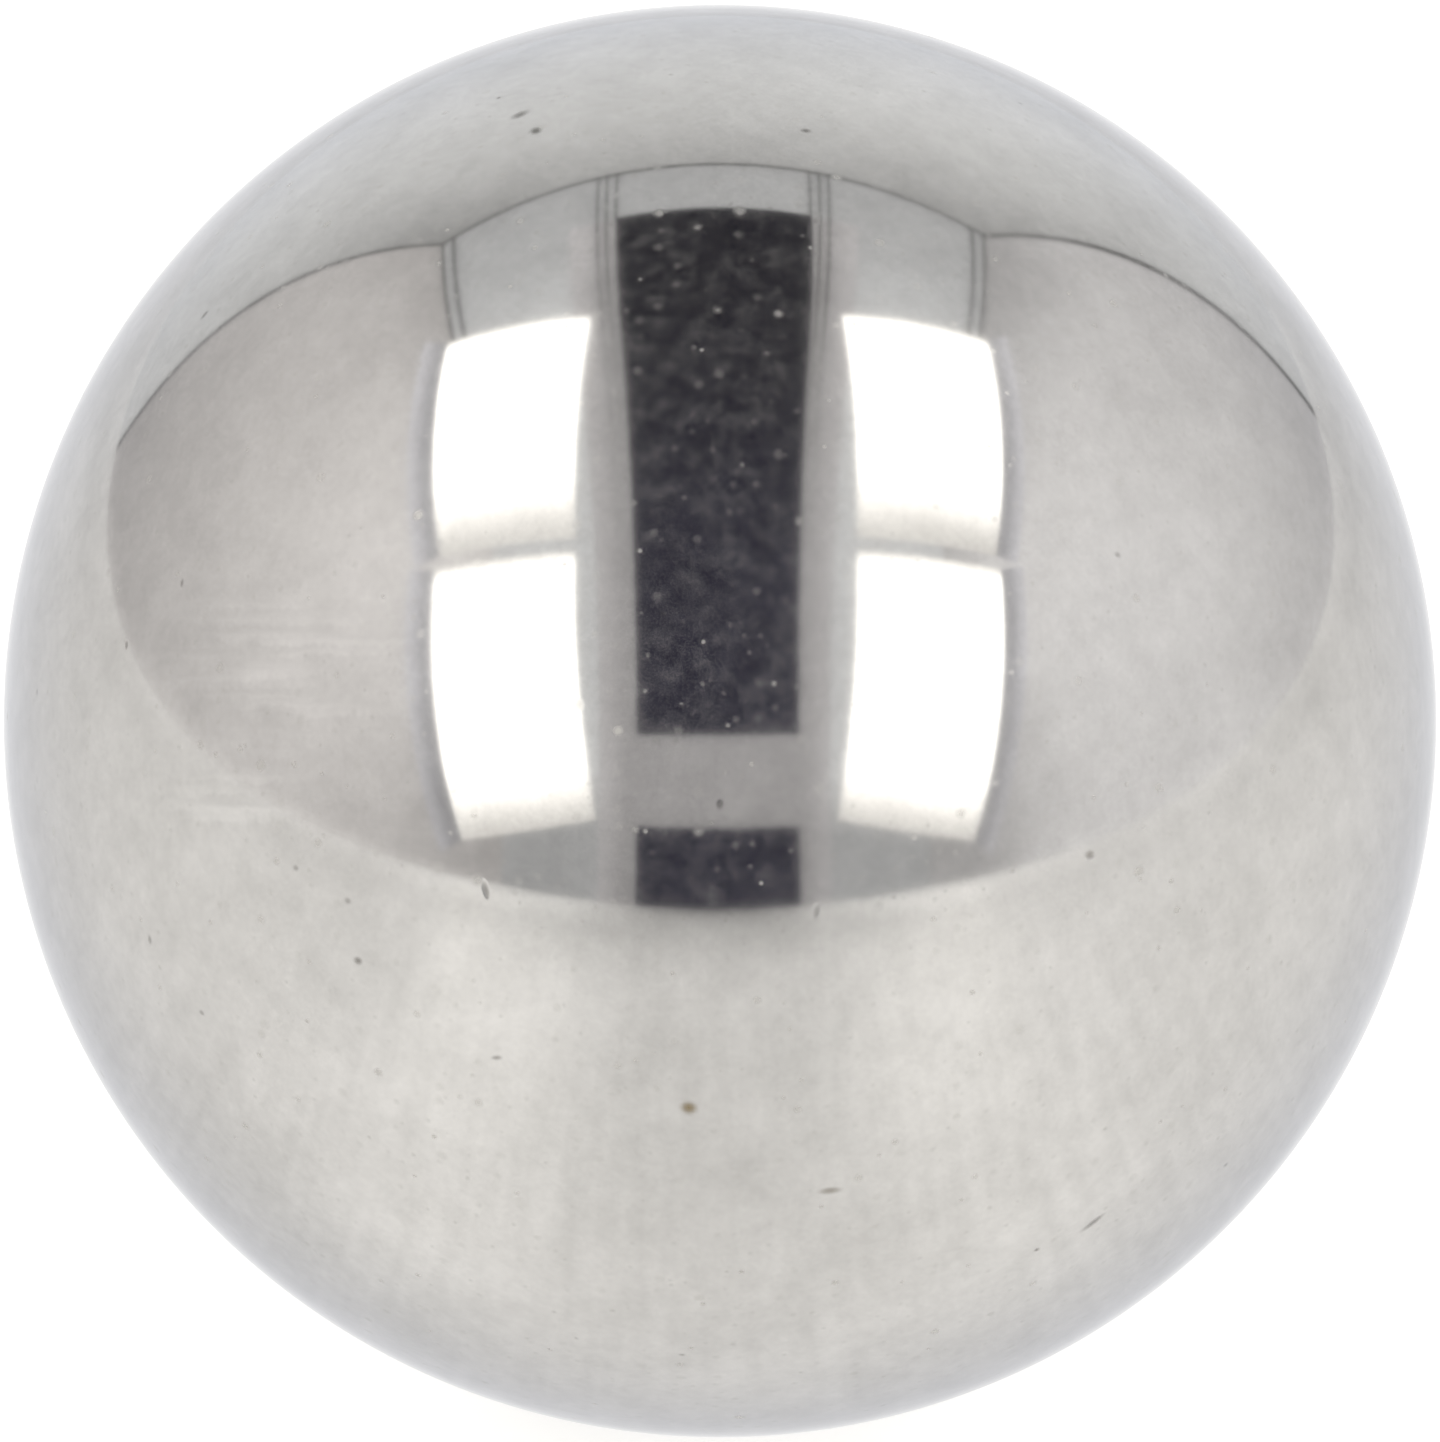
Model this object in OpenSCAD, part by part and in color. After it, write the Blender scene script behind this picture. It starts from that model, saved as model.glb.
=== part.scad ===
// Loose steel ball: one solid sphere, ground and lapped, with no hole, flat or seam.
// The origin is the ball's centre and +Z is up.

/* [Ball] */
// Diameter of the ball in millimetres
ball_d = 25.4; // [1:0.1:100]

/* [Hidden] */
// Segments round the equator in a preview
$fn = 180;

// The whole part: a true sphere about the origin.
module ball() {
    color("#C8C7C4")
        sphere(d = ball_d);
}

ball();
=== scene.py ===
"""Lapped steel ball with its nicks, specks and wipe marks, in a plain white light tent."""

import math
import random

import bmesh
import bpy
from bpy.props import FloatProperty, FloatVectorProperty, IntProperty, PointerProperty
from mathutils import Matrix, Vector
from mathutils.kdtree import KDTree


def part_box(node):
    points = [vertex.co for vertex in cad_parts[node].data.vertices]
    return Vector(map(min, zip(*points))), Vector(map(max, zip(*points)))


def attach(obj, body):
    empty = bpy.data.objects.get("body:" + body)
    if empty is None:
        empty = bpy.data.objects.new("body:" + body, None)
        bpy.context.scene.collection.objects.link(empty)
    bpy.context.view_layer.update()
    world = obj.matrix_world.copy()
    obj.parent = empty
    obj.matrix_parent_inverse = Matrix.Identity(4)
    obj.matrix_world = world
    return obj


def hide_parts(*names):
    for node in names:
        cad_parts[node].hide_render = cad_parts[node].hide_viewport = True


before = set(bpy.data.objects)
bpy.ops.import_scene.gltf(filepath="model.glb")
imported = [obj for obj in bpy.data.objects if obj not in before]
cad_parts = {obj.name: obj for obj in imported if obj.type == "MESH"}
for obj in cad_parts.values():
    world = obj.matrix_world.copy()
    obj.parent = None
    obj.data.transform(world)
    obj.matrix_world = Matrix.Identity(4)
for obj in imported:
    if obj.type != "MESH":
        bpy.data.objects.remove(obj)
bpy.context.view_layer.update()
BALL_LOW, BALL_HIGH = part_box("ball")
BALL_D = BALL_HIGH[2] - BALL_LOW[2]
FLOOR = BALL_LOW[2]
MM = 0.001

bl_info = {
    "name": "Steel ball",
    "version": (1, 0, 0),
    "blender": (4, 5, 0),
    "location": "View3D > Sidebar > Steel ball",
    "description": "A loose, lapped steel ball in a plain light tent",
    "category": "Object",
}

# The photograph's frame, and where the ball's outline lies in it, in its pixels
PHOTO_WIDE = 1440
BALL_MIDDLE_PX = (720.2, 721.2)
BALL_RADIUS_PX = 716.7

# Nicks and pits that the photograph shows: pixel across, pixel down, length and width in mm,
# turn in the picture in degrees, depth in mm, and how much grime and rust lie in it
SEEN_MARKS = (
    (520, 115, 0.46, 0.30, 40, 0.0040, 0.75, 0.0),
    (536, 131, 0.34, 0.26, 120, 0.0040, 0.95, 0.0),
    (499, 98, 0.14, 0.12, 0, 0.0020, 0.7, 0.0),
    (806, 131, 0.26, 0.17, 0, 0.0024, 0.75, 0.0),
    (689, 1108, 0.36, 0.32, 0, 0.0056, 0.55, 0.9),
    (830, 1191, 0.54, 0.21, 2, 0.0040, 0.5, 0.2),
    (1093, 1223, 0.72, 0.20, 41, 0.0032, 0.6, 0.0),
    (1037, 1250, 0.15, 0.13, 0, 0.0032, 0.7, 0.0),
    (358, 961, 0.24, 0.20, 0, 0.0048, 0.7, 0.0),
    (486, 890, 0.44, 0.16, 100, 0.0040, 0.55, 0.0),
    (497, 1058, 0.28, 0.12, 15, 0.0032, 0.6, 0.0),
    (296, 868, 0.18, 0.15, 0, 0.0028, 0.45, 0.0),
    (348, 901, 0.19, 0.16, 0, 0.0028, 0.45, 0.0),
    (202, 1013, 0.18, 0.14, 0, 0.0028, 0.5, 0.0),
    (150, 940, 0.26, 0.16, 60, 0.0032, 0.5, 0.0),
    (1090, 855, 0.26, 0.22, 0, 0.0036, 0.5, 0.1),
    (182, 583, 0.20, 0.12, 90, 0.0028, 0.6, 0.0),
    (127, 645, 0.18, 0.12, 90, 0.0028, 0.6, 0.0),
    (205, 315, 0.26, 0.14, 35, 0.0028, 0.55, 0.0),
    (1118, 555, 0.18, 0.15, 0, 0.0028, 0.45, 0.0),
    (720, 805, 0.24, 0.19, 80, 0.0032, 0.5, 0.0),
    (816, 912, 0.40, 0.16, 80, 0.0012, 0.2, 0.0),
    (1226, 1165, 0.16, 0.13, 0, 0.0024, 0.5, 0.0),
    (682, 1355, 0.16, 0.12, 0, 0.0020, 0.5, 0.0),
)

# Small pits scattered all round: widths in mm, how much longer than wide the longest is,
# depth as a share of the width, and how much grime lies in them
STRAY_WIDTHS_MM = (0.08, 0.16)
STRAY_STRETCH = 2.2
STRAY_DEPTH = 0.02
STRAY_GRIME = (0.15, 0.4)

# Patches streaked by a cloth, and one drawn paler as a painted highlight where the pool of light under the
# left panel shows in the steel: pixel across, pixel down, half length and half width in mm
WIPED_PATCHES = (
    (300, 665, 3.2, 1.9),
    (250, 800, 2.0, 0.9),
)
PAINTED_HIGHLIGHT_PATCHES = (
    (525, 1000, 2.4, 2.0),
)

# Ways along which a cloth's glow can change: three axes, and down the sheet's own rows from 0 to 1
ACROSS, ALONG, UP, ROWS = range(4)
# Height up to which the walls' glow is lifted, as painted light bounced from the floor
FLOOR_BOUNCE_TOP = FLOOR + 0.016

# Cloths of the tent: colour, glow as a share of the wall level, and falls. A fall takes the glow
# to a share of itself between two places along a way, in metres.
TENT_CLOTHS = {
    # Woven white nylon lit from behind: an even glow that fades softly away from the lamps
    "left_wall_nylon": ("#FFFCFB", 1.06, (
        (ALONG, -0.12, 0.30, 0.74), (ALONG, -0.16, -0.43, 0.65), (UP, 0.30, 0.47, 0.78),
        (UP, 0.24, -0.02, 0.82), (UP, FLOOR_BOUNCE_TOP, FLOOR, 1.15))),
    "right_wall_nylon": ("#FFFEFF", 1.18, (
        (ALONG, -0.12, 0.30, 0.74), (ALONG, -0.13, -0.40, 0.52), (UP, 0.22, 0.46, 0.64),
        (UP, 0.24, -0.02, 0.86), (UP, FLOOR_BOUNCE_TOP, FLOOR, 1.06))),
    "back_wall_nylon": ("#FEFFFF", 1.15, (
        (UP, 0.04, 0.55, 0.52), (ACROSS, 0.08, 0.32, 0.75), (ACROSS, -0.10, -0.34, 0.74))),
    "roof_nylon": ("#FBFDFF", 0.91, (
        (ALONG, 0.04, 0.20, 0.80), (ALONG, 0.18, 0.33, 0.92), (UP, 0.17, 0.07, 0.62))),
    # Cloth beside each light panel's outer edge, dimmed towards the panel as painted shade
    "panel_shade_nylon": ("#F9F9FF", 1.06, ((ROWS, 1.0, 0.2, 0.60), (UP, 0.20, 0.04, 0.74))),
    # The same nylon beside the gap, half as bright as painted shade, and brighter towards its outer edges
    "shaded_gap_border_nylon": ("#FFFDFF", 0.53, (
        (ACROSS, -0.112, -0.150, 1.35), (ACROSS, 0.100, 0.138, 1.35), (ALONG, 0.06, 0.20, 1.18),
        (UP, 0.13, 0.06, 0.85))),
    # A near-black sheet over the open gap, as painted shade, with a trace of violet towards the front
    "gap_shade_sheet": ("#CAC5FF", 0.052, ((ALONG, -0.38, 0.10, 0.35),)),
    # Woven polyester tape over the seams: thin grey lines, one kind fading into the border
    "polyester_tape": ("#FFFFFF", 0.16, ()),
    "fine_polyester_tape": ("#FFFFFF", 0.12, ()),
    "fading_polyester_tape": ("#FFFFFF", 0.12, ((ROWS, 0.55, 1.0, 4.4),)),
}

# Woven nylon diffuser over a lamp: the brightest thing in the steel, softer at its top and foot
DIFFUSER_COLOUR = "#FFFDF9"
DIFFUSER_FALLS = ((ROWS, 0.05, 0.0, 0.5), (ROWS, 0.68, 1.0, 0.38))

# Corners of the light panels as places along and up: inner top, outer top, inner foot, outer foot
PANEL_CORNERS = {
    "upper_panel": ((0.050, 0.407), (0.096, 0.405), (-0.166, 0.262), (-0.155, 0.273)),
    "lower_panel": ((-0.174, 0.252), (-0.161, 0.257), (-0.347, 0.073), (-0.345, 0.030)),
}
SIDES = ((-1, "left"), (1, "right"))

# Places on the floor whose glow in the steel is lifted: under the panels of each side, and
# behind the ball
PANEL_POOL = (0.14, -0.25, 0.0)
BACK_POOL = (0.0, 0.13, FLOOR)

# How far the tent's layers lie off its cloth so that none cuts into another, and how far the back
# wall and the roof run past the side walls
HEM_INSET = 0.001
SEAM_INSET = 0.002
GAP_INSET = 0.003
OVERLAP = 0.03

# Steps along the roof where seams end: 0 is at the back wall, 1 over the ball, 2 at the front's foot
BACK_SEAM_END = 0.025
EDGE_SEAM_END = 1.2
BORDER_SEAM_END = 1.35


def linear(hex_code):
    """Turn an sRGB hex colour into linear red, green, blue and a full alpha."""
    parts = [int(hex_code[i:i + 2], 16) / 255 for i in (1, 3, 5)]
    rgb = [c / 12.92 if c <= 0.04045 else ((c + 0.055) / 1.055) ** 2.4 for c in parts]
    return (*rgb, 1.0)


def length_prop(name, description, default):
    """A length in metres for a property group."""
    return FloatProperty(name=name, description=description, default=default, unit="LENGTH", precision=5)


def angle_prop(name, description, degrees):
    """An angle for a property group, written in degrees."""
    return FloatProperty(name=name, description=description, default=math.radians(degrees), subtype="ANGLE")


def colour_prop(name, description, hex_code):
    """A colour for a property group, written as sRGB hex."""
    return FloatVectorProperty(name=name, description=description, default=linear(hex_code),
                               subtype="COLOR", size=4, min=0, max=1)


class BallShape(bpy.types.PropertyGroup):
    """Sizes of the ball and of the marks on it."""

    diameter: length_prop("Diameter", "Diameter of the ball", BALL_D)
    faces: IntProperty(name="Faces", description="Faces along each side of the blown-up cube", default=84)
    stray_marks: IntProperty(name="Stray marks", description="Small pits scattered all round", default=26)
    stray_seed: IntProperty(name="Seed", description="Seed of the scattered pits", default=31)
    finest_edge: length_prop("Finest edge", "Shortest mesh edge inside a mark", 0.03 * MM)


class SteelFinish(bpy.types.PropertyGroup):
    """Colours and grit of the lapped steel."""

    pale: colour_prop("Pale steel", "Steel where the mirror is cleanest", "#CDCBC8")
    shade: colour_prop("Dull steel", "Steel under a film of oil and dust", "#C0BEBB")
    speck: colour_prop("Specks", "Fine etched pits and stuck dirt", "#BCBAB5")
    grime: colour_prop("Grime", "Old oil in the nicks", "#6A6761")
    rust: colour_prop("Rust", "First brown stain in a pit", "#8E7E5F")
    edge: colour_prop("Edge tint", "Reflection at a grazing angle, a little under a mirror's", "#E0E2E8")
    mirror: FloatProperty(name="Mirror roughness", description="Roughness of the clean mirror", default=0.07)
    mottle_mm: FloatProperty(name="Mottling", description="Width of the mottled film in mm", default=1.1)
    cloud_mm: FloatProperty(name="Clouds", description="Width of hazy patches in mm", default=5.0)
    dust_mm: FloatProperty(name="Dust", description="Width of a patch of dust in mm", default=0.40)
    speck_mm: FloatProperty(name="Speck spacing", description="Spacing of fine specks in mm", default=0.34)
    wipe_mm: FloatProperty(name="Wipe width", description="Width of a wipe streak in mm", default=0.28)
    streak_mm: FloatProperty(name="Streak width", description="Width of a fanned streak in mm", default=0.26)
    fan_mm: FloatProperty(name="Fan", description="Ball's middle to where the streaks would meet in mm",
                          default=16.5)


class StudioSet(bpy.types.PropertyGroup):
    """Sizes and levels of the tent, its light panels and the camera."""

    middle: length_prop("Middle", "Sideways place of the tent's middle", -0.007)
    skew: length_prop("Skew", "How far the back wall stands off to one side", -0.013)
    lean_left: length_prop("Left lean", "How far the left back corner leans out at the roof", 0.006)
    lean_right: length_prop("Right lean", "How far the right back corner leans out at the roof", 0.024)
    bow_left: length_prop("Left bow", "How far the left wall leans out over the ball", 0.0075)
    bow_right: length_prop("Right bow", "How far the right wall leans out over the ball", 0.016)
    half_width: length_prop("Half width", "Tent's middle to a side wall", 0.2935)
    back: length_prop("Back", "Ball to the back wall", 0.332)
    height: length_prop("Height", "Floor to roof, and the radius of the rounded front", 0.457)
    gap_half: length_prop("Gap", "Half the width of the dark gap in the roof", 0.095)
    gap_flare: length_prop("Gap's flare", "How much wider the gap is at its foot, on the right", 0.010)
    gap_back: length_prop("Gap's end", "Ball to the back end of the gap", 0.217)
    band_top: angle_prop("Band's top", "Top of the band across the gap, up round the front", 27.0)
    band_foot: angle_prop("Band's foot", "Foot of the band across the gap, up round the front", 12.7)
    border: length_prop("Border", "Width of the sewn border beside the gap", 0.050)
    inner_seam: length_prop("Inner seam", "Gap to the border's first seam", 0.010)
    outer_seam: length_prop("Outer seam", "Gap to the border's second seam", 0.0195)
    fine_half: length_prop("Fine seam", "Half the width of a seam beside the gap", 0.0015)
    edge_half: length_prop("Edge seam", "Half the width of a seam along a side wall", 0.003)
    edge_pair: length_prop("Edge seams", "Spacing of the two seams along a side wall", 0.017)
    corner_left: length_prop("Left corner", "Width of the tape in the left back corner", 0.008)
    corner_right: length_prop("Right corner", "Width of the tape in the right back corner", 0.011)
    panel_middle: length_prop("Panels' middle", "Sideways place of the middle between the panels", -0.0035)
    panel_inner: length_prop("Panel's inner edge", "Panels' middle to a light panel", 0.1185)
    panel_outer: length_prop("Panel's outer edge", "Panels' middle to a light panel's far side", 0.287)
    panel_shade_wide: length_prop("Panel frame", "Width of the shaded cloth beside a light panel", 0.034)
    floor_reach: length_prop("Floor's reach", "Ball to the floor's edge", 4.0)
    elevation: angle_prop("Elevation", "Camera above the horizon", 27.7)
    distance: length_prop("Distance", "Camera to the ball's middle", 0.254)
    walls: FloatProperty(name="Wall level", description="Glow of the walls", default=1.0)
    lamps: FloatProperty(name="Panel level", description="Glow of the light panels", default=3.2)


def node(tree, kind, inputs=None, **settings):
    """Add a node with its settings; each input is a socket to link or a value to set."""
    made = tree.nodes.new("ShaderNode" + kind)
    for key, value in settings.items():
        setattr(made, key, value)
    for key, source in (inputs or {}).items():
        if isinstance(source, bpy.types.NodeSocket):
            tree.links.new(source, made.inputs[key])
        else:
            made.inputs[key].default_value = source
    return made


def new_material(name):
    """An empty node material and its tree."""
    material = bpy.data.materials.new(name)
    material.use_nodes = True
    material.node_tree.nodes.clear()
    return material, material.node_tree


def specks(tree, place, spacing_mm, smallest_mm, largest_mm):
    """Soft round specks at random, most of them small and faint: a mask from 0 to 1.

    The smallest are drawn a little larger than the real ones, so that the render shows them.
    """
    large_rarity = 4.0
    strong_rarity = 6.0
    faintest = 0.27
    core_share = 0.2
    cells = node(tree, "TexVoronoi", {"Vector": place, "Scale": 1 / spacing_mm})
    chance = node(tree, "SeparateColor", {0: cells.outputs["Color"]}).outputs
    growth = node(tree, "Math", {0: chance[0], 1: large_rarity}, operation="POWER").outputs[0]
    radius = node(tree, "MapRange", {"Value": growth, "To Min": smallest_mm / spacing_mm,
                                     "To Max": largest_mm / spacing_mm}).outputs[0]
    strength = node(tree, "Math", {0: chance[1], 1: strong_rarity}, operation="POWER").outputs[0]
    strength = node(tree, "MapRange", {"Value": strength, "To Min": faintest}).outputs[0]
    core = node(tree, "Math", {0: radius, 1: core_share}, operation="MULTIPLY").outputs[0]
    return node(tree, "MapRange", {"Value": cells.outputs["Distance"], "From Min": radius, "From Max": core,
                                   "To Max": strength}, interpolation_type="SMOOTHSTEP").outputs[0]


def fanned_steel_sheen(tree, finish, across, height):
    """Painted sheen: fine paler and darker streaks of light that fan out downwards and show only below the
    middle, about 0 on average.
    """
    slowness = 0.12
    start_mm = -1.0
    full_mm = -6.0
    strongest = 0.3
    spread = node(tree, "Math", {0: finish.fan_mm, 1: height}, operation="SUBTRACT").outputs[0]
    share = node(tree, "Math", {0: across, 1: spread}, operation="DIVIDE").outputs[0]
    ray = node(tree, "Math", {0: share, 1: finish.fan_mm}, operation="MULTIPLY").outputs[0]
    slow = node(tree, "Math", {0: height, 1: slowness}, operation="MULTIPLY").outputs[0]
    fan_place = node(tree, "CombineXYZ", {0: ray, 1: slow}).outputs[0]
    fan = node(tree, "TexNoise", {"Vector": fan_place, "Scale": 1 / finish.streak_mm, "Detail": 1.0},
               noise_dimensions="2D").outputs[0]
    fan = node(tree, "Math", {0: fan, 1: 0.5}, operation="SUBTRACT").outputs[0]
    low = node(tree, "MapRange", {"Value": height, "From Min": start_mm, "From Max": full_mm,
                                  "To Max": strongest}).outputs[0]
    return node(tree, "Math", {0: fan, 1: low}, operation="MULTIPLY").outputs[0]


def cloth_wipes(tree, finish, across, height, mottle):
    """Broad, slightly wavy wipes across the ball where a cloth has rubbed: a mask from 0 to 1."""
    slowness = 0.08
    waver_mm = 0.35
    drawn = node(tree, "Math", {0: across, 1: slowness}, operation="MULTIPLY").outputs[0]
    wavy = node(tree, "Math", {0: mottle, 1: waver_mm, 2: height}, operation="MULTIPLY_ADD").outputs[0]
    wipe_place = node(tree, "CombineXYZ", {0: drawn, 1: wavy}).outputs[0]
    wipes = node(tree, "TexNoise", {"Vector": wipe_place, "Scale": 1 / finish.wipe_mm, "Detail": 1.0},
                 noise_dimensions="2D").outputs[0]
    wiped = node(tree, "Attribute", attribute_name="wiped").outputs["Fac"]
    return node(tree, "MapRange", {"Value": wipes, "From Min": 0.45, "From Max": 0.75,
                                   "To Max": wiped}).outputs[0]


def lapped_steel(finish, tilt):
    """Hardened bearing steel, ground and lapped: a warm grey mirror under a thin uneven film.

    The eye sees soft-edged reflections, a good deal darker than the room, mottled by the film, with
    faint dark specks on pale reflections that turn pale on dark ones, streaks from wiping, and painted sheen
    streaks below the middle.
    """
    material, tree = new_material("lapped_bearing_steel")
    metres = node(tree, "TexCoord").outputs["Object"]
    place = node(tree, "VectorMath", {0: metres, "Scale": 1 / MM}, operation="SCALE").outputs[0]
    across = node(tree, "SeparateXYZ", {0: place}).outputs[0]
    upward = (0, math.sin(tilt), math.cos(tilt))
    height = node(tree, "VectorMath", {0: place, 1: upward}, operation="DOT_PRODUCT").outputs["Value"]

    # Mottled film, turned so that no row of its pattern runs level, and hazy patches
    film_turn = (0.5, 0.7, 0.9)
    turned = node(tree, "VectorRotate", {"Vector": place, "Rotation": film_turn},
                  rotation_type="EULER_XYZ").outputs[0]
    mottle = node(tree, "TexNoise", {"Vector": turned, "Scale": 1 / finish.mottle_mm, "Detail": 4.0,
                                     "Roughness": 0.8}).outputs[0]
    clouds = node(tree, "TexNoise", {"Vector": place, "Scale": 1 / finish.cloud_mm, "Detail": 1.0}).outputs[0]

    # What lies on the film: painted sheen streaks, wipes, specks, and dirt in the nicks
    steel_sheen = fanned_steel_sheen(tree, finish, across, height)
    wipes = cloth_wipes(tree, finish, across, height, mottle)
    marks = specks(tree, place, finish.speck_mm, smallest_mm=0.065, largest_mm=0.155)
    painted_highlight, grime, rust = [node(tree, "Attribute", attribute_name=name).outputs["Fac"]
                           for name in ("painted_highlight", "grime", "rust")]

    # Colour: the film's tone runs from dull to pale steel, lifted in one patch as a painted highlight, and
    # specks and dirt lie over it
    tone = node(tree, "Math", {0: mottle, 1: steel_sheen}, operation="ADD").outputs[0]
    for layer, share in ((clouds, 0.6), (wipes, 0.40), (painted_highlight, 0.26)):
        tone = node(tree, "Math", {0: layer, 1: share, 2: tone}, operation="MULTIPLY_ADD").outputs[0]
    tone = node(tree, "MapRange", {"Value": tone, "From Min": 0.62, "From Max": 0.99}, clamp=False).outputs[0]
    colour = node(tree, "Mix", {0: tone, 6: finish.shade, 7: finish.pale}, data_type="RGBA",
                  clamp_factor=False).outputs[2]
    for layer, tint in ((marks, finish.speck), (grime, finish.grime), (rust, finish.rust)):
        colour = node(tree, "Mix", {0: layer, 6: colour, 7: tint}, data_type="RGBA").outputs[2]

    # Roughness: hazy patches dull the mirror a little, specks and grime much more
    haze = 0.01
    rough = node(tree, "MapRange", {"Value": clouds, "From Min": 0.35, "From Max": 0.65,
                                    "To Min": finish.mirror - haze,
                                    "To Max": finish.mirror + haze}).outputs[0]
    for layer, dulling in ((marks, 0.14), (grime, 0.4)):
        rough = node(tree, "Math", {0: layer, 1: dulling, 2: rough}, operation="MULTIPLY_ADD").outputs[0]

    # Dust and specks take a little from the metal, and show pale on dark reflections
    dust_contrast = 2.0
    metal = 0.970
    dust = node(tree, "TexNoise", {"Vector": place, "Scale": 1 / finish.dust_mm, "Detail": 3.0,
                                   "Roughness": 0.65}).outputs[0]
    dust = node(tree, "MapRange", {"Value": dust, "From Min": 0.3, "From Max": 0.75}).outputs[0]
    dust = node(tree, "Math", {0: dust, 1: dust_contrast}, operation="POWER").outputs[0]
    for layer, share in ((dust, -0.10), (marks, -0.40)):
        metal = node(tree, "Math", {0: layer, 1: share, 2: metal}, operation="MULTIPLY_ADD").outputs[0]

    # Waviness left by lapping
    waves = 0.0002 * MM
    relief = node(tree, "Bump", {"Strength": 1.0, "Distance": waves, "Height": clouds}).outputs[0]
    surface = node(tree, "BsdfPrincipled", {"Base Color": colour, "Metallic": metal, "Roughness": rough,
                                            "Specular Tint": finish.edge, "Normal": relief})
    node(tree, "OutputMaterial", {"Surface": surface.outputs[0]})
    return material


def camera_axes(studio):
    """Right, up and back of the camera, as the photograph looks at the ball."""
    back = Vector((0, -math.cos(studio.elevation), math.sin(studio.elevation)))
    right = Vector((1, 0, 0))
    return right, back.cross(right), back


def pixel_tangent(studio, radius):
    """Tangent of the angle that one pixel of the photograph covers, from the ball's outline in it."""
    return math.tan(math.asin(radius / studio.distance)) / BALL_RADIUS_PX


def ball_point(studio, radius, across_px, down_px):
    """Direction from the ball's middle to the point of its surface at a pixel of the photograph."""
    right, up, back = camera_axes(studio)
    look = right * (across_px - BALL_MIDDLE_PX[0]) + up * (BALL_MIDDLE_PX[1] - down_px)
    look = (look * pixel_tangent(studio, radius) - back).normalized()
    eye = back * studio.distance
    along = eye.dot(look)
    near = -along - math.sqrt(max(along * along - studio.distance ** 2 + radius ** 2, 0))
    return (eye + look * near).normalized()


def mark_list(shape, studio, radius):
    """Every mark as middle, long axis, cross axis, half length, half width, depth, grime and rust."""
    right, up, _ = camera_axes(studio)
    marks = []
    for across, down, length, width, turn, depth, grime, rust in SEEN_MARKS:
        middle = ball_point(studio, radius, across, down)
        turned = right * math.cos(math.radians(turn)) + up * math.sin(math.radians(turn))
        marks.append((middle, turned, length, width, depth, grime, rust))
    chance = random.Random(shape.stray_seed)
    for _ in range(shape.stray_marks):
        middle = Vector([chance.gauss(0, 1) for _ in range(3)]).normalized()
        turned = Vector([chance.gauss(0, 1) for _ in range(3)])
        width = chance.uniform(*STRAY_WIDTHS_MM)
        length = width * (1 + STRAY_STRETCH * chance.random() ** 4)
        marks.append((middle, turned, length, width, STRAY_DEPTH * width, chance.uniform(*STRAY_GRIME), 0.0))
    made = []
    for middle, turned, length, width, depth, grime, rust in marks:
        long_axis = (turned - middle * turned.dot(middle)).normalized()
        made.append((middle, long_axis, middle.cross(long_axis), length * MM / 2, width * MM / 2,
                     depth * MM, grime, rust))
    return made


def patch_share(studio, radius, patches, directions):
    """How far each direction lies inside one of the patches, from 0 to 1."""
    right, up, _ = camera_axes(studio)
    shares = [0.0] * len(directions)
    for across, down, half_long, half_wide in patches:
        middle = ball_point(studio, radius, across, down)
        for number, direction in enumerate(directions):
            offset = (direction - middle) * radius / MM
            reach = (offset.dot(right) / half_long) ** 2 + (offset.dot(up) / half_wide) ** 2
            if reach < 1 and direction.dot(middle) > 0:
                shares[number] = max(shares[number], (1 - reach) ** 2)
    return shares


def refine(bm, marks, radius, edge, finest):
    """Halve the faces round each mark until the mesh can carry its shape."""
    margin = 1.3
    while edge > finest:
        tree = KDTree(len(bm.faces))
        faces = list(bm.faces)
        for number, face in enumerate(faces):
            tree.insert(face.calc_center_median(), number)
        tree.balance()
        edges = set()
        for middle, _, _, half_long, half_wide, *_ in marks:
            if edge < half_wide / 2:
                continue
            for _, number, _ in tree.find_range(middle * radius, half_long * margin + edge):
                edges.update(faces[number].edges)
        bmesh.ops.subdivide_edges(bm, edges=list(edges), cuts=1, use_grid_fill=True)
        edge /= 2


def press_marks(bm, marks, radius):
    """Press each mark into the ball; gives each vertex's normal, grime and rust."""
    margin = 1.05
    directions = [vert.co.normalized() for vert in bm.verts]
    heights = [0.0] * len(directions)
    normals = [direction.copy() for direction in directions]
    grime = [0.0] * len(directions)
    rust = [0.0] * len(directions)
    tree = KDTree(len(directions))
    for number, direction in enumerate(directions):
        tree.insert(direction * radius, number)
    tree.balance()
    for middle, long_axis, cross_axis, half_long, half_wide, depth, dirt, brown in marks:
        for _, number, _ in tree.find_range(middle * radius, half_long * margin):
            offset = (directions[number] - middle) * radius
            along = offset.dot(long_axis) / half_long
            across = offset.dot(cross_axis) / half_wide
            reach = along * along + across * across
            if reach >= 1:
                continue
            # The bowl's normal leans by the slope of its depth, worked out rather than read off the mesh
            bowl = (1 - reach) ** 2
            heights[number] -= depth * bowl
            slope = 4 * depth * (1 - reach)
            normals[number] -= long_axis * (slope * along / half_long)
            normals[number] -= cross_axis * (slope * across / half_wide)
            grime[number] = max(grime[number], dirt * bowl)
            rust[number] = max(rust[number], brown * bowl)
    for vert, direction, height in zip(bm.verts, directions, heights):
        vert.co = direction * (radius + height)
    return [normal.normalized() for normal in normals], grime, rust


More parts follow.
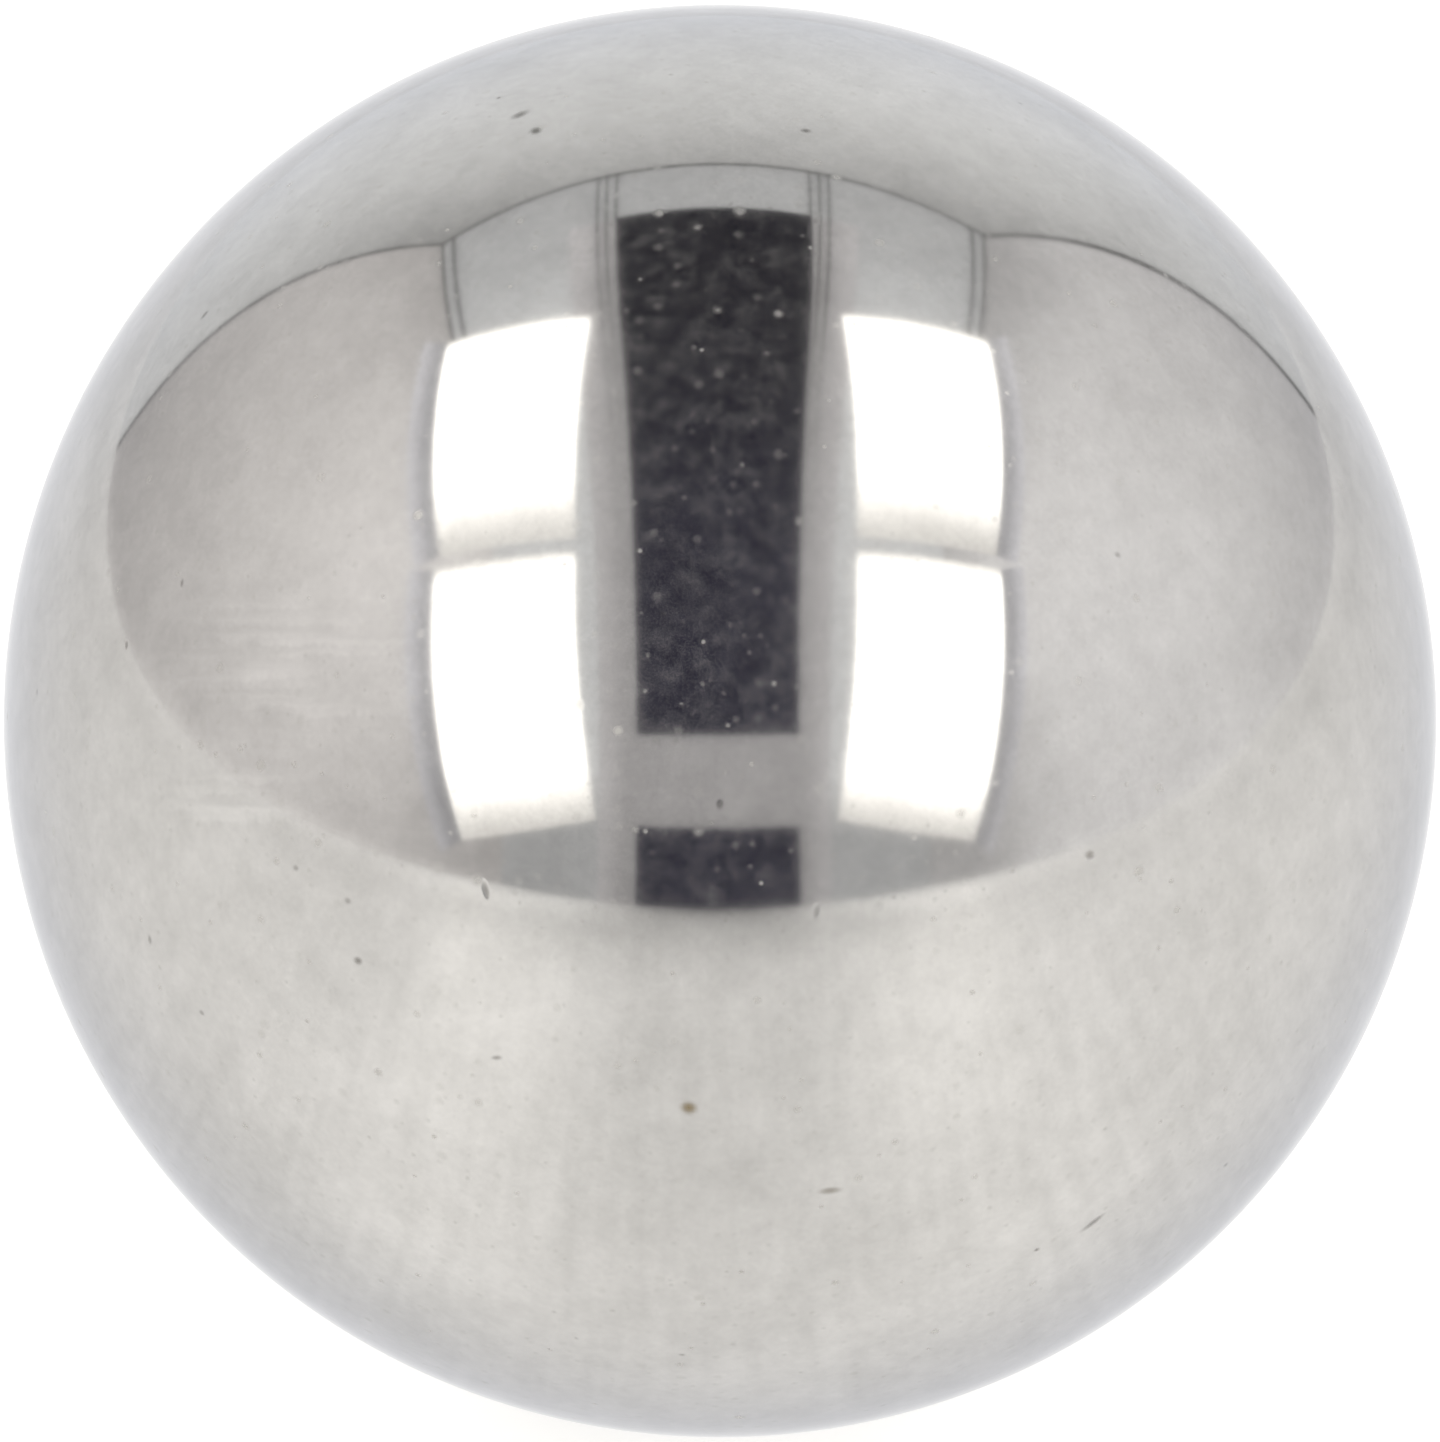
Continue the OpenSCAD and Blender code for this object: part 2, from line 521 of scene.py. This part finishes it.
def cube_map(bm, margin):
    """Lay the cube's six sides side by side in a map, three across and two up."""
    layer = bm.loops.layers.uv.new("OFBake")
    for face in bm.faces:
        normal = face.normal
        axis = max(range(3), key=lambda i: abs(normal[i]))
        column, row = axis, 0 if normal[axis] > 0 else 1
        first, second = [i for i in range(3) if i != axis]
        for loop in face.loops:
            across = margin + (loop.vert.co[first] + 1) / 2 * (1 - 2 * margin)
            upward = margin + (loop.vert.co[second] + 1) / 2 * (1 - 2 * margin)
            loop[layer].uv = ((column + across) / 3, (row + upward) / 2)


def ball_mesh(shape, studio):
    """A cube cut fine and blown up into a ball, with the marks pressed in."""
    radius = shape.diameter / 2
    bm = bmesh.new()
    bmesh.ops.create_cube(bm, size=2.0)
    bmesh.ops.subdivide_edges(bm, edges=bm.edges[:], cuts=shape.faces - 1, use_grid_fill=True)
    bm.normal_update()
    cube_map(bm, margin=0.01)
    for vert in bm.verts:
        # Equal angles between the lines keep the faces alike all over
        vert.co = Vector([math.tan(c * math.pi / 4) for c in vert.co]).normalized() * radius
    marks = mark_list(shape, studio, radius)
    refine(bm, marks, radius, radius * math.pi / 2 / shape.faces, shape.finest_edge)
    bm.verts.index_update()
    directions = [vert.co.normalized() for vert in bm.verts]
    wiped = patch_share(studio, radius, WIPED_PATCHES, directions)
    # The paler patch is a painted highlight
    painted_highlight = patch_share(studio, radius, PAINTED_HIGHLIGHT_PATCHES, directions)
    normals, grime, rust = press_marks(bm, marks, radius)
    mesh = bpy.data.meshes.new("lapped_ball")
    bm.to_mesh(mesh)
    bm.free()
    for polygon in mesh.polygons:
        polygon.use_smooth = True
    for name, values in (("grime", grime), ("rust", rust), ("wiped", wiped), ("painted_highlight", painted_highlight)):
        attribute = mesh.attributes.new(name, "FLOAT", "POINT")
        attribute.data.foreach_set("value", values)
    mesh.normals_split_custom_set_from_vertices(normals)
    return mesh


def place_object(name, mesh, material):
    """Put a mesh into the scene with one material."""
    mesh.materials.append(material)
    made = bpy.data.objects.new(name, mesh)
    bpy.context.scene.collection.objects.link(made)
    return made


class STEELBALL_OT_ball(bpy.types.Operator):
    """Make the lapped steel ball"""

    bl_idname = "steelball.ball"
    bl_label = "Lapped ball"

    def execute(self, context):
        scene = context.scene
        mesh = ball_mesh(scene.ball_shape, scene.studio_set)
        material = lapped_steel(scene.steel_finish, scene.studio_set.elevation)
        ball = place_object("lapped_ball", mesh, material)
        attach(ball, "root")
        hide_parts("ball")
        return {"FINISHED"}


def glowing_cloth(name, colour, level, falls=()):
    """Tent cloth lit from behind, with its falls along the ways named above."""
    material, tree = new_material(name)
    ways = list(node(tree, "SeparateXYZ", {0: node(tree, "TexCoord").outputs["Object"]}).outputs)
    ways.append(node(tree, "Attribute", attribute_name="rows").outputs["Fac"])
    for way, start, end, share in falls:
        fall = node(tree, "MapRange", {"Value": ways[way], "From Min": start, "From Max": end, "To Min": 1.0,
                                       "To Max": share}, interpolation_type="SMOOTHSTEP").outputs[0]
        level = node(tree, "Math", {0: level, 1: fall}, operation="MULTIPLY").outputs[0]
    glow = node(tree, "Emission", {"Color": linear(colour), "Strength": level})
    node(tree, "OutputMaterial", {"Surface": glow.outputs[0]})
    material.cycles.emission_sampling = "NONE"
    return material


def floor_glow(tree, gap_foot):
    """Level of the floor's glow in the steel, by its place.

    It is dimmer far from the ball and towards the dark gap's foot, with pools of light under the
    panels and behind the ball.
    """
    here = node(tree, "TexCoord").outputs["Object"]
    stretch = (2.6, 1.0, 0.0)
    away = tuple(-share * place for share, place in zip(stretch, gap_foot))
    from_gap = node(tree, "VectorMath", {0: here, 1: stretch, 2: away}, operation="MULTIPLY_ADD").outputs[0]
    apart = node(tree, "VectorMath", {0: from_gap}, operation="LENGTH").outputs["Value"]
    level = node(tree, "MapRange", {"Value": apart, "From Min": 0.05, "From Max": 0.40, "To Min": 0.28,
                                    "To Max": 1.03}).outputs[0]
    far = node(tree, "VectorMath", {0: here}, operation="LENGTH").outputs["Value"]
    far = node(tree, "MapRange", {"Value": far, "From Min": 0.03, "From Max": 0.14, "To Min": 1.0,
                                  "To Max": 0.78}).outputs[0]
    level = node(tree, "Math", {0: level, 1: far}, operation="MULTIPLY").outputs[0]

    # The two sides share one pool, folded over the middle
    parts = node(tree, "SeparateXYZ", {0: here}).outputs
    sideways = node(tree, "Math", {0: parts[0]}, operation="ABSOLUTE").outputs[0]
    folded = node(tree, "CombineXYZ", {0: sideways, 1: parts[1]}).outputs[0]
    for place, middle, rim, core, lift in ((folded, PANEL_POOL, 0.13, 0.03, 0.16),
                                           (here, BACK_POOL, 0.11, 0.04, 0.12)):
        pool = node(tree, "VectorMath", {0: place, 1: middle}, operation="DISTANCE").outputs["Value"]
        pool = node(tree, "MapRange", {"Value": pool, "From Min": rim, "From Max": core,
                                       "To Max": lift}).outputs[0]
        level = node(tree, "Math", {0: level, 1: pool}, operation="ADD").outputs[0]
    return level


def floor_board(name, gap_foot):
    """Satin white melamine board: near white to the camera, and still shadowed.

    In the steel it is a pale glow with the panels' sheen on it.
    """
    material, tree = new_material(name)
    path = node(tree, "LightPath").outputs
    board = node(tree, "BsdfPrincipled", {"Base Color": linear("#EFEEEB"), "Roughness": 0.4}).outputs[0]
    camera_lift = 0.6
    lift = node(tree, "Math", {0: path["Is Camera Ray"], 1: camera_lift}, operation="MULTIPLY").outputs[0]
    lift = node(tree, "Emission", {"Color": linear("#FFFFFF"), "Strength": lift}).outputs[0]
    seen = node(tree, "AddShader", {0: board, 1: lift}).outputs[0]

    level = floor_glow(tree, gap_foot)
    glow = node(tree, "Emission", {"Color": linear("#FFFEFC"), "Strength": level}).outputs[0]
    slant = node(tree, "Fresnel").outputs[0]
    shine = node(tree, "MapRange", {"Value": slant, "From Min": 0.04, "To Min": 0.08,
                                    "To Max": 0.40}).outputs[0]
    sheen = node(tree, "BsdfGlossy", {"Color": shine, "Roughness": 0.33}).outputs[0]
    mirrored = node(tree, "AddShader", {0: glow, 1: sheen}).outputs[0]
    reflected = node(tree, "Math", {0: path["Is Glossy Ray"], 1: path["Is Transmission Ray"]},
                     operation="MAXIMUM").outputs[0]
    both = node(tree, "MixShader", {0: reflected, 1: seen, 2: mirrored})
    node(tree, "OutputMaterial", {"Surface": both.outputs[0]})
    return material


def sheet(name, rows, material):
    """A sheet through rows of points, which keeps how far down its rows each point lies."""
    points = [point for row in rows for point in row]
    wide = len(rows[0])
    faces = []
    for down in range(len(rows) - 1):
        for over in range(wide - 1):
            corner = down * wide + over
            faces.append((corner, corner + 1, corner + wide + 1, corner + wide))
    mesh = bpy.data.meshes.new(name)
    mesh.from_pydata(points, [], faces)
    shares = [count / (len(rows) - 1) for count in range(len(rows)) for _ in range(wide)]
    mesh.attributes.new("rows", "FLOAT", "POINT").data.foreach_set("value", shares)
    return place_object(name, mesh, material)


def side_leans(studio, side):
    """How far a side wall leans out at the roof: at its back corner, and over the ball."""
    if side < 0:
        return studio.lean_left, studio.bow_left
    return studio.lean_right, studio.bow_right


def tent_walls(studio, cloths):
    """The side walls, skewed and leaning out, and the back wall."""
    ceiling = FLOOR + studio.height
    front = -studio.height
    walls = []
    for side, name in SIDES:
        lean, bow = side_leans(studio, side)
        across = studio.middle + side * studio.half_width
        foot = across + studio.skew
        top = foot + side * lean
        upper = across + side * bow
        walls.append(sheet(name + "_wall", [
            [(foot, studio.back, FLOOR), (top, studio.back, ceiling)],
            [(across, 0, FLOOR), (upper, 0, ceiling)],
            [(across, front, FLOOR), (upper, front, ceiling)]], cloths[name + "_wall_nylon"]))
    half = studio.half_width + OVERLAP
    left, right = studio.middle - half, studio.middle + half
    walls.append(sheet("back_wall", [
        [(left, studio.back, FLOOR), (right, studio.back, FLOOR)],
        [(left, studio.back, ceiling), (right, studio.back, ceiling)]], cloths["back_wall_nylon"]))
    return walls


def roof_point(studio, step, inset):
    """A point of the roof's section, as places along and up."""
    radius = studio.height - inset
    if step <= 1:
        return studio.back * (1 - step), FLOOR + radius
    angle = (step - 1) * math.pi / 2
    return -radius * math.sin(angle), FLOOR + radius * math.cos(angle)


def roof_strip(studio, name, left, right, start, end, inset, material, flare=0.0, lean=0.0):
    """A strip of the roof between two places across and two steps along.

    It flares to the right towards the front's foot, and leans sideways towards the back wall.
    """
    pieces = 40
    rows = []
    for count in range(pieces + 1):
        step = start + (end - start) * count / pieces
        along, up = roof_point(studio, step, inset)
        across = studio.middle + lean * max(0, 1 - step)
        rows.append([(across + left, along, up), (across + right + flare * step / 2, along, up)])
    return sheet(name, rows, material)


def gap_start(studio):
    """Step along the roof where the dark gap starts."""
    return 1 - studio.gap_back / studio.back


def tent_roof(studio, cloths):
    """The roof and rounded front, and the dark gap in them with its border, crossed by one band."""
    half = studio.half_width + OVERLAP
    gap = studio.gap_half
    border = gap + studio.border
    start = gap_start(studio)
    band_top, band_foot = [2 - angle / (math.pi / 2) for angle in (studio.band_top, studio.band_foot)]
    roof = [roof_strip(studio, "roof", -half, half, 0, 2, 0, cloths["roof_nylon"]),
            roof_strip(studio, "gap_border", -border, border, start, 2, HEM_INSET,
                       cloths["shaded_gap_border_nylon"])]
    for name, first, last in (("gap_above", start, band_top), ("gap_below", band_foot, 2)):
        roof.append(roof_strip(studio, name, -gap, gap, first, last, GAP_INSET, cloths["gap_shade_sheet"],
                               flare=studio.gap_flare))
    return roof


def tent_seams(studio, cloths):
    """Sewn seams beside the gap, along the tent's edges and down its back corners."""
    tape, fine, fading = [cloths[kind + "polyester_tape"] for kind in ("", "fine_", "fading_")]
    ceiling = FLOOR + studio.height
    gap = studio.gap_half
    seams = []
    for side, _ in SIDES:
        lean, bow = side_leans(studio, side)
        edge = studio.half_width + bow - studio.edge_half
        turn = studio.skew + side * (lean - bow)
        for place, half_wide, last, kind, tilt in (
                (gap, studio.fine_half, gap_start(studio), fine, 0),
                (gap + studio.inner_seam, studio.fine_half, BORDER_SEAM_END, fading, 0),
                (gap + studio.outer_seam, studio.fine_half, BORDER_SEAM_END, fading, 0),
                (edge, studio.edge_half, EDGE_SEAM_END, tape, turn),
                (edge - studio.edge_pair, studio.edge_half, EDGE_SEAM_END, tape, turn)):
            left, right = side * place - half_wide, side * place + half_wide
            seams.append(roof_strip(studio, "roof_seam", left, right, 0, last, SEAM_INSET, kind, lean=tilt))
    half = studio.half_width + OVERLAP
    seams.append(roof_strip(studio, "roof_edge", -half, half, 0, BACK_SEAM_END, HEM_INSET, tape))
    for (side, name), wide in zip(SIDES, (studio.corner_left, studio.corner_right)):
        foot = studio.middle + side * (studio.half_width - SEAM_INSET) + studio.skew
        top = foot + side * side_leans(studio, side)[0]
        near = studio.back - wide
        seams.append(sheet(name + "_edge", [
            [(foot, studio.back, FLOOR), (top, studio.back, ceiling)],
            [(foot, near, FLOOR), (top, near, ceiling)]], tape))
    return seams


def light_panel(studio, name, side, corners, cloths):
    """A flat light panel, and beside its outer edge a strip of cloth dimmed as painted shade."""
    inner_top, outer_top, inner_foot, outer_foot = [Vector(corner) for corner in corners]
    inner = studio.panel_middle + side * studio.panel_inner
    outer = studio.panel_middle + side * studio.panel_outer
    pieces = 12
    rows = []
    for count in range(pieces + 1):
        near = inner_top.lerp(inner_foot, count / pieces)
        far = outer_top.lerp(outer_foot, count / pieces)
        rows.append([(inner, *near), (outer, *far)])
    run = (outer_foot - outer_top).normalized()
    inward = Vector((-run.y, run.x)) * studio.panel_shade_wide
    wall = studio.middle + side * (studio.half_width - HEM_INSET)
    # A strip of painted shade from the panel's outer edge to the wall
    strip = [[(outer, *outer_top), (outer, *outer_foot)],
             [(wall, *(outer_top + inward)), (wall, *(outer_foot + inward))]]
    return [sheet(name, rows, cloths["diffuser_nylon"]),
            sheet(name + "_frame", strip, cloths["panel_shade_nylon"])]


def white_surround():
    """A plain white world behind the floor."""
    world = bpy.data.worlds.new("white_surround")
    world.use_nodes = True
    world.node_tree.nodes["Background"].inputs["Color"].default_value = linear("#FFFFFF")
    world.cycles.sampling_method = "NONE"
    return world


def photo_camera(studio):
    """The camera at the photograph's viewing angle, with the ball as large as it is there."""
    right, up, back = camera_axes(studio)
    camera = bpy.data.cameras.new("camera")
    camera.sensor_fit = "HORIZONTAL"
    half_frame = pixel_tangent(studio, BALL_D / 2) * PHOTO_WIDE / 2
    camera.lens = camera.sensor_width / 2 / half_frame
    camera.clip_start = 0.01
    eye = bpy.data.objects.new("camera", camera)
    turn = Matrix((right, up, back)).transposed().to_4x4()
    eye.matrix_world = Matrix.Translation(back * studio.distance) @ turn
    bpy.context.scene.collection.objects.link(eye)
    return eye


class STEELBALL_OT_stage(bpy.types.Operator):
    """Make the floor, the tent, its light panels and the camera"""

    bl_idname = "steelball.stage"
    bl_label = "Light tent"

    def execute(self, context):
        scene = context.scene
        studio = scene.studio_set
        reach = studio.floor_reach
        board = floor_board("white_melamine_board", (studio.middle, -studio.height, FLOOR))
        ground = sheet("floor", [
            [(-reach, -reach, FLOOR), (reach, -reach, FLOOR)],
            [(-reach, reach, FLOOR), (reach, reach, FLOOR)]], board)

        cloths = {name: glowing_cloth(name, colour, studio.walls * share, falls)
                  for name, (colour, share, falls) in TENT_CLOTHS.items()}
        cloths["diffuser_nylon"] = glowing_cloth("diffuser_nylon", DIFFUSER_COLOUR, studio.lamps,
                                                 DIFFUSER_FALLS)
        tent = tent_walls(studio, cloths) + tent_roof(studio, cloths) + tent_seams(studio, cloths)
        for side, side_name in SIDES:
            for panel_name, corners in PANEL_CORNERS.items():
                tent += light_panel(studio, side_name + "_" + panel_name, side, corners, cloths)
        for piece in tent:
            piece.visible_camera = False

        scene.world = white_surround()
        scene.view_settings.view_transform = "Standard"
        scene.camera = photo_camera(studio)
        return {"FINISHED"}


class STEELBALL_PT_panel(bpy.types.Panel):
    """Sidebar panel with the ball, its finish and the tent"""

    bl_idname = "STEELBALL_PT_panel"
    bl_label = "Steel ball"
    bl_space_type = "VIEW_3D"
    bl_region_type = "UI"
    bl_category = "Steel ball"

    def draw(self, context):
        for group, operator in ((context.scene.ball_shape, "steelball.ball"),
                                (context.scene.steel_finish, None),
                                (context.scene.studio_set, "steelball.stage")):
            box = self.layout.box()
            for name in group.__annotations__:
                box.prop(group, name)
            if operator:
                box.operator(operator)


CLASSES = (BallShape, SteelFinish, StudioSet, STEELBALL_OT_ball, STEELBALL_OT_stage, STEELBALL_PT_panel)


def register():
    """Add the classes and the scene's three groups of settings."""
    for entry in CLASSES:
        bpy.utils.register_class(entry)
    bpy.types.Scene.ball_shape = PointerProperty(type=BallShape)
    bpy.types.Scene.steel_finish = PointerProperty(type=SteelFinish)
    bpy.types.Scene.studio_set = PointerProperty(type=StudioSet)


def unregister():
    """Take the settings and the classes away again."""
    del bpy.types.Scene.studio_set
    del bpy.types.Scene.steel_finish
    del bpy.types.Scene.ball_shape
    for entry in reversed(CLASSES):
        bpy.utils.unregister_class(entry)


def main():
    """Make the ball and its stage."""
    register()
    bpy.ops.steelball.ball()
    bpy.ops.steelball.stage()


if __name__ == "__main__":
    main()
